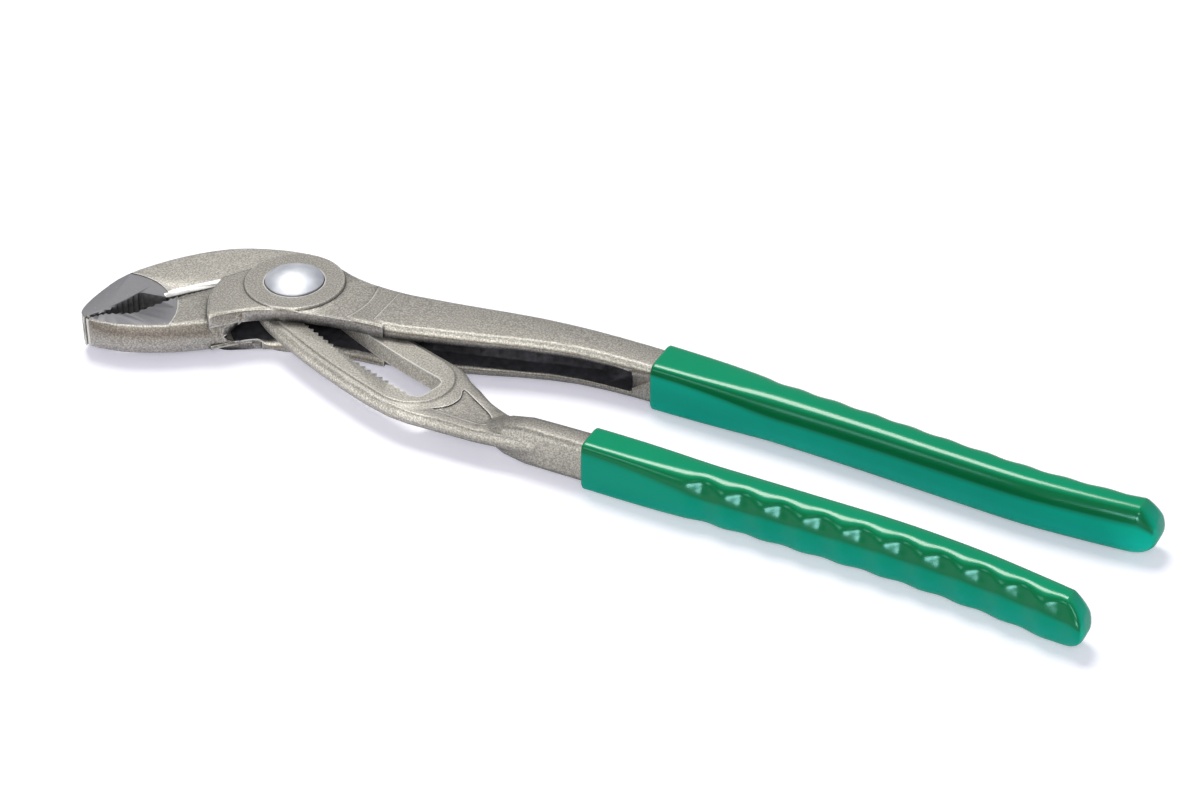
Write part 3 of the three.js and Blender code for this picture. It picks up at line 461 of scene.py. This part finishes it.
def grip_sides(x, end):
    """Lower and upper Z of a grip, drawn together to a low nose at its end."""
    fall = min(max((x - end + GRIP_NOSE) / GRIP_NOSE, 0.0), 1.0)
    rise = min(max((x - end + GRIP_HEEL) / GRIP_HEEL, 0.0), 1.0)
    drop = GRIP_THICKNESS - NOSE_HEIGHT - NOSE_THICKNESS / 2
    top = GRIP_THICKNESS - drop * (0.75 * fall**1.25 + 0.25 * fall**4)
    low = (NOSE_HEIGHT - NOSE_THICKNESS / 2) * (0.5 * rise**2 + 0.5 * rise**5)
    return low, top


def ring(x, y, low, high, width, power, outer=0, start=0.0, ripple=0.0, hollow=0.0):
    """One closed ring across X: a rounded box, with dimples in its outer side."""
    points = []
    for i in range(RING_POINTS):
        angle = 2 * math.pi * i / RING_POINTS
        c, s = math.cos(angle), math.sin(angle)
        across = math.copysign(abs(c) ** (2 / power), c)
        up = math.copysign(abs(s) ** (2 / power), s)
        z = (low + high) / 2 + up * (high - low) / 2
        push = outer * push_at(x, z, start, ripple, hollow) * abs(across) if across * outer > 0 else 0.0
        points.append((x, y + across * width / 2 + push, z))
    return points


def loft(name, rings):
    """A closed mesh through rings of equal size, in millimetres."""
    mesh = bpy.data.meshes.new(name)
    made = bmesh.new()
    rows = [[made.verts.new(Vector(p) * MM) for p in points] for points in rings]
    for first, second in zip(rows, rows[1:]):
        for i in range(RING_POINTS):
            j = (i + 1) % RING_POINTS
            made.faces.new((first[i], first[j], second[j], second[i]))
    made.faces.new(rows[0][::-1])
    made.faces.new(rows[-1])
    bmesh.ops.recalc_face_normals(made, faces=made.faces)
    for face in made.faces:
        face.smooth = True
    made.to_mesh(mesh)
    made.free()
    return mesh


def grip(name, run, span, outer, ripple, hollow):
    """A dipped sleeve: rippled outside, rolled front lip, hollow for the steel bar."""
    start, end = span
    outside = []
    stations = np.concatenate([
        start + GRIP_LIP * (1 - np.cos(np.linspace(0, math.pi / 2, LIP_STATIONS))),
        np.linspace(start + GRIP_LIP, end - GRIP_HEEL, GRIP_STATIONS)[1:],
        end - GRIP_HEEL * np.cos(np.linspace(0, math.pi / 2, NOSE_STATIONS))[1:],
    ])
    for x in stations:
        y, width = run_at(run, x)
        low, high = grip_sides(x, end)
        full = (high - low) / GRIP_THICKNESS
        edge = 1 - min((x - start) / GRIP_LIP, 1.0)
        tuck = GRIP_LIP * (1 - math.sqrt(1 - edge**2))
        taper = NOSE_WIDTH + (1 - NOSE_WIDTH) * math.sqrt(full)
        tip = max((x - end + NOSE_ROUNDING) / NOSE_ROUNDING, 0.0)
        shrink = max(math.sqrt(max(1 - tip**2, 0.0)), NOSE_TIP)
        rounding = smooth_step(x, start, start + OVAL_RUN)
        wide = (width + 2 * GRIP_WALL + GRIP_FULLNESS * rounding) * taper * shrink - 2 * tuck
        middle = (low + high) / 2
        low, high = middle + (low - middle) * shrink, middle + (high - middle) * shrink
        power = FRONT_POWER + (OVAL_POWER - FRONT_POWER) * rounding
        outside.append(ring(x, y, low + tuck, high - tuck, wide, power, outer, start, ripple, hollow))
    inside = []
    half = TANG_THICKNESS / 2 + TANG_GAP
    for x in np.linspace(start, TANG_END_X, TANG_STATIONS):
        y, width = run_at(run, x)
        inside.append(ring(x, y, MID_Z - half, MID_Z + half, width + 2 * TANG_GAP, TANG_POWER))
    mesh = loft(name, outside[::-1] + inside)
    sleeve = bpy.data.objects.new(name, mesh)
    bpy.context.scene.collection.objects.link(sleeve)
    return sleeve


def dressed(node_name):
    """A welded copy of a CAD node, with hard edges kept sharp and the rest shaded smooth."""
    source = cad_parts[node_name]
    made = bmesh.new()
    made.from_mesh(source.data)
    bmesh.ops.remove_doubles(made, verts=made.verts, dist=WELD_GAP)
    bmesh.ops.dissolve_degenerate(made, edges=made.edges, dist=WELD_GAP)
    for face in made.faces:
        face.smooth = True
    mesh = bpy.data.meshes.new(node_name + "_dressed")
    made.to_mesh(mesh)
    made.free()
    mesh.set_sharp_from_angle(angle=SHARP_ANGLE)
    piece = bpy.data.objects.new(node_name + "_dressed", mesh)
    bpy.context.scene.collection.objects.link(piece)
    weigh = piece.modifiers.new("even_normals", "WEIGHTED_NORMAL")
    weigh.keep_sharp = True
    weigh.weight = 90
    return piece


def jaw_place(centre):
    """Way along the jaws from heel to tip, and offset towards the back jaw."""
    offset = np.array(centre[:2]) - JAW_HEEL
    return offset @ JAW_ALONG, offset @ JAW_ACROSS


def is_ground(centre, normal, circle):
    """On a jaw's ground side, within its circle."""
    (x, y), radius = circle
    level = abs(abs(centre[2] - MID_Z) - GROUND_HALF_HEIGHT) < 0.06
    near = math.hypot(centre[0] - x, centre[1] - y) < radius + GROUND_MARGIN
    return level and near and abs(normal[2]) > 0.95


def is_slope(centre, normal):
    """On the slopes beside the back jaw's straight row of teeth."""
    way, offset = jaw_place(centre)
    beside = SLOPE_RUN[0] < way < SLOPE_RUN[1] and SLOPE_BAND[0] < offset < SLOPE_BAND[1]
    return beside and 0.6 < abs(normal[2]) < 0.95


def is_inside_box(centre, normal):
    """Inside the window between the cheeks or the handle's channel."""
    x, y, z = centre
    if abs(z - MID_Z) > INNER_HALF_HEIGHT or not WINDOW_LEFT_X - WINDOW_DEPTH < x < CHANNEL_END_X + 0.05:
        return False
    if x < 0 and normal[0] - normal[1] > 0.9:
        return False
    if x < WINDOW_LEFT_X and y < WINDOW_FLOOR_Y:
        return False
    return normal[1] < 0.5 or abs(normal[2]) > 0.7


def is_mouth(centre, normal, side):
    """On the toothed walls of the mouth; side is 1 for the back jaw and -1 for the front one."""
    way, offset = jaw_place(centre)
    inward = -side * (normal[:2] @ JAW_ACROSS)
    deep = BACK_MOUTH_DEPTH if side > 0 else FRONT_MOUTH_DEPTH
    return 0 < way < JAW_LENGTH - MOUTH_TIP_MARGIN and -0.6 < side * offset < deep and inward > 0.15


def finish_faces(piece, finishes, choose):
    """Gives each face of a piece the finish that choose names from its centre and normal."""
    names = list(finishes)
    for name in names:
        piece.data.materials.append(finishes[name])
    for face in piece.data.polygons:
        centre = np.array(face.center) / MM
        face.material_index = names.index(choose(centre, np.array(face.normal)))


def boxed_finish(centre, normal):
    """Name of the finish at a place on the boxed arm."""
    if is_ground(centre, normal, FRONT_GROUND):
        return "ground"
    if is_inside_box(centre, normal):
        return "dark"
    if is_mouth(centre, normal, -1):
        return "toothed"
    return "blasted"


def slotted_finish(centre, normal):
    """Name of the finish at a place on the slotted arm."""
    if is_ground(centre, normal, BACK_GROUND):
        return "ground"
    if is_slope(centre, normal):
        return "bright"
    if is_mouth(centre, normal, 1):
        return "toothed"
    return "blasted"


def single_finish(piece, material):
    """Gives a piece one finish all over."""
    piece.data.materials.clear()
    piece.data.materials.append(material)


def stand_in(piece, node_name, body):
    """The piece rides on a body in place of a CAD node, which is hidden."""
    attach(piece, body)
    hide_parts(node_name)


def dress_arms():
    """The two forgings, face by face."""
    shared = {"ground": ground_steel(), "toothed": toothed_steel()}
    boxed_steel = {
        "blasted": blasted_steel("boxed_steel", BOXED_PAINTED_LIGHT, BOXED_HANDLE_LEVEL),
        **shared, "dark": dark_steel()}
    slotted_steel = {
        "blasted": blasted_steel("slotted_steel", SLOTTED_PAINTED_LIGHT, SLOTTED_HANDLE_LEVEL),
        **shared, "bright": bright_steel()}
    boxed = dressed("boxed_arm")
    finish_faces(boxed, boxed_steel, boxed_finish)
    stand_in(boxed, "boxed_arm", "boxed_side")
    slotted = dressed("slotted_arm")
    finish_faces(slotted, slotted_steel, slotted_finish)
    stand_in(slotted, "slotted_arm", "slotted_side")


def dress_bolt():
    """The bolt, its retaining ring, and the spring on a mesh of its own."""
    bolt = dressed("push_bolt")
    single_finish(bolt, polished_steel())
    stand_in(bolt, "push_bolt", "bolt")
    wire = wire_steel()
    clip = dressed("bolt_clip")
    single_finish(clip, wire)
    stand_in(clip, "bolt_clip", "bolt")
    spring = dressed("bolt_spring")
    single_finish(spring, wire)
    stand_in(spring, "bolt_spring", "turning_centre")
    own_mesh(spring)


def dress_grips():
    """The two plastic sleeves."""
    # The two grips take lit and shaded copies of one plastic, the far one painted lighter on its lower side
    boxed_grip = grip(
        "boxed_arm_sleeve", BOXED_RUN, BOXED_GRIP_SPAN, 1, FAR_RIPPLE_DEPTH, FAR_DIMPLE_DEPTH)
    single_finish(boxed_grip, green_plastic("far_plastic", FAR_GRIP_PAINTED_LIGHT))
    stand_in(boxed_grip, "boxed_arm_grip", "boxed_side")
    slotted_grip = grip(
        "slotted_arm_sleeve", SLOTTED_RUN, SLOTTED_GRIP_SPAN, -1, RIPPLE_DEPTH, DIMPLE_DEPTH)
    single_finish(slotted_grip, green_plastic("near_plastic", NEAR_GRIP_PAINTED_LIGHT))
    stand_in(slotted_grip, "slotted_arm_grip", "slotted_side")


def white_floor():
    """A wide pale floor that keeps the shadow and goes to white for the camera."""
    mesh = bpy.data.meshes.new("floor")
    corners = [(x * FLOOR_REACH, y * FLOOR_REACH, 0) for x, y in ((-1, -1), (1, -1), (1, 1), (-1, 1))]
    mesh.from_pydata(corners, [], [(0, 1, 2, 3)])
    floor = bpy.data.objects.new("floor", mesh)
    floor.location.z = -FLOOR_DROP
    bpy.context.scene.collection.objects.link(floor)
    material = bpy.data.materials.new("floor_white")
    material.use_nodes = True
    tree = material.node_tree
    tree.nodes.clear()
    paint = add_node(tree, "ShaderNodeBsdfDiffuse", (-300, 100), Color=(0.84, 0.84, 0.86, 1))
    path = add_node(tree, "ShaderNodeLightPath", (-700, -100))
    lift = add_node(tree, "ShaderNodeMath", (-500, -100))
    lift.operation = "MULTIPLY"
    lift.inputs[1].default_value = FLOOR_LIFT
    tree.links.new(path.outputs["Is Camera Ray"], lift.inputs[0])
    glow = add_node(tree, "ShaderNodeEmission", (-300, -100), Color=(0.855, 0.845, 1, 1))
    tree.links.new(lift.outputs[0], glow.inputs["Strength"])
    both = add_node(tree, "ShaderNodeAddShader", (-100, 0))
    tree.links.new(paint.outputs[0], both.inputs[0])
    tree.links.new(glow.outputs[0], both.inputs[1])
    output = add_node(tree, "ShaderNodeOutputMaterial", (100, 0))
    tree.links.new(both.outputs[0], output.inputs["Surface"])
    mesh.materials.append(material)


def soft_box(name, place, aim, size, power, colour=(1, 1, 1)):
    """A round or oval soft light at a place, turned to a point."""
    light = bpy.data.lights.new(name, "AREA")
    light.shape = "ELLIPSE"
    light.size, light.size_y = size
    light.energy = power
    light.color = colour
    lamp = bpy.data.objects.new(name, light)
    lamp.location = place
    lamp.rotation_euler = (Vector(aim) - Vector(place)).to_track_quat("-Z", "Y").to_euler()
    bpy.context.scene.collection.objects.link(lamp)


def around(target, azimuth, elevation, distance):
    """A place round a target: azimuth 0 is the camera's side, 180 behind the object."""
    turn = math.radians(CAMERA_AZIMUTH + azimuth)
    rise = math.radians(elevation)
    level = distance * math.cos(rise)
    offset = Vector((level * math.sin(turn), -level * math.cos(turn), distance * math.sin(rise)))
    return Vector(target) + offset


def studio():
    """A key light above and behind, one at the camera, one at the left, a low one, and light all round."""
    middle = STUDIO_MIDDLE
    soft_box("key", around(middle, 200, 66, 1.3), middle, (0.6, 0.56), 10.9, (1, 0.985, 0.95))
    soft_box("front", around(middle, 0, 40, 1.3), middle, (0.5, 0.4), 3.4, (1, 0.99, 0.96))
    soft_box("left", around(middle, -55, 25, 1.2), middle, (0.4, 0.4), 1.4)
    soft_box("low", around(middle, -17, 7, 1.3), middle, (0.42, 0.36), 6.4)
    world = bpy.data.worlds.new("studio")
    bpy.context.scene.world = world
    world.use_nodes = True
    tree = world.node_tree
    tree.nodes.clear()
    coords = add_node(tree, "ShaderNodeTexCoord", (-900, 0))
    split = add_node(tree, "ShaderNodeSeparateXYZ", (-700, 0))
    tree.links.new(coords.outputs["Generated"], split.inputs[0])
    share = add_node(tree, "ShaderNodeMapRange", (-500, 0))
    share.inputs["From Min"].default_value = -0.8
    share.inputs["From Max"].default_value = 0.8
    tree.links.new(split.outputs["Y"], share.inputs["Value"])
    tone = ramp(tree, share.outputs[0], (-300, 0), (
        (0.0, (0.2, 0.2, 0.222)), (0.5, (0.25, 0.25, 0.275)), (1.0, (0.35, 0.35, 0.385))))
    glow = add_node(tree, "ShaderNodeBackground", (0, 0), Strength=1.0)
    tree.links.new(tone, glow.inputs["Color"])
    output = add_node(tree, "ShaderNodeOutputWorld", (200, 0))
    tree.links.new(glow.outputs[0], output.inputs["Surface"])


def photo_camera():
    """The camera of the photograph."""
    lens = bpy.data.cameras.new("camera")
    lens.lens = CAMERA_LENS
    lens.sensor_fit = "HORIZONTAL"
    lens.sensor_width = CAMERA_SENSOR
    lens.clip_start, lens.clip_end = 0.01, 50
    camera = bpy.data.objects.new("camera", lens)
    camera.location = CAMERA_PLACE
    camera.rotation_euler = CAMERA_AIM.to_track_quat("-Z", "Y").to_euler()
    bpy.context.scene.collection.objects.link(camera)
    bpy.context.scene.camera = camera


dress_arms()
dress_bolt()
dress_grips()
white_floor()
studio()
photo_camera()
bpy.context.scene.view_settings.view_transform = "Standard"
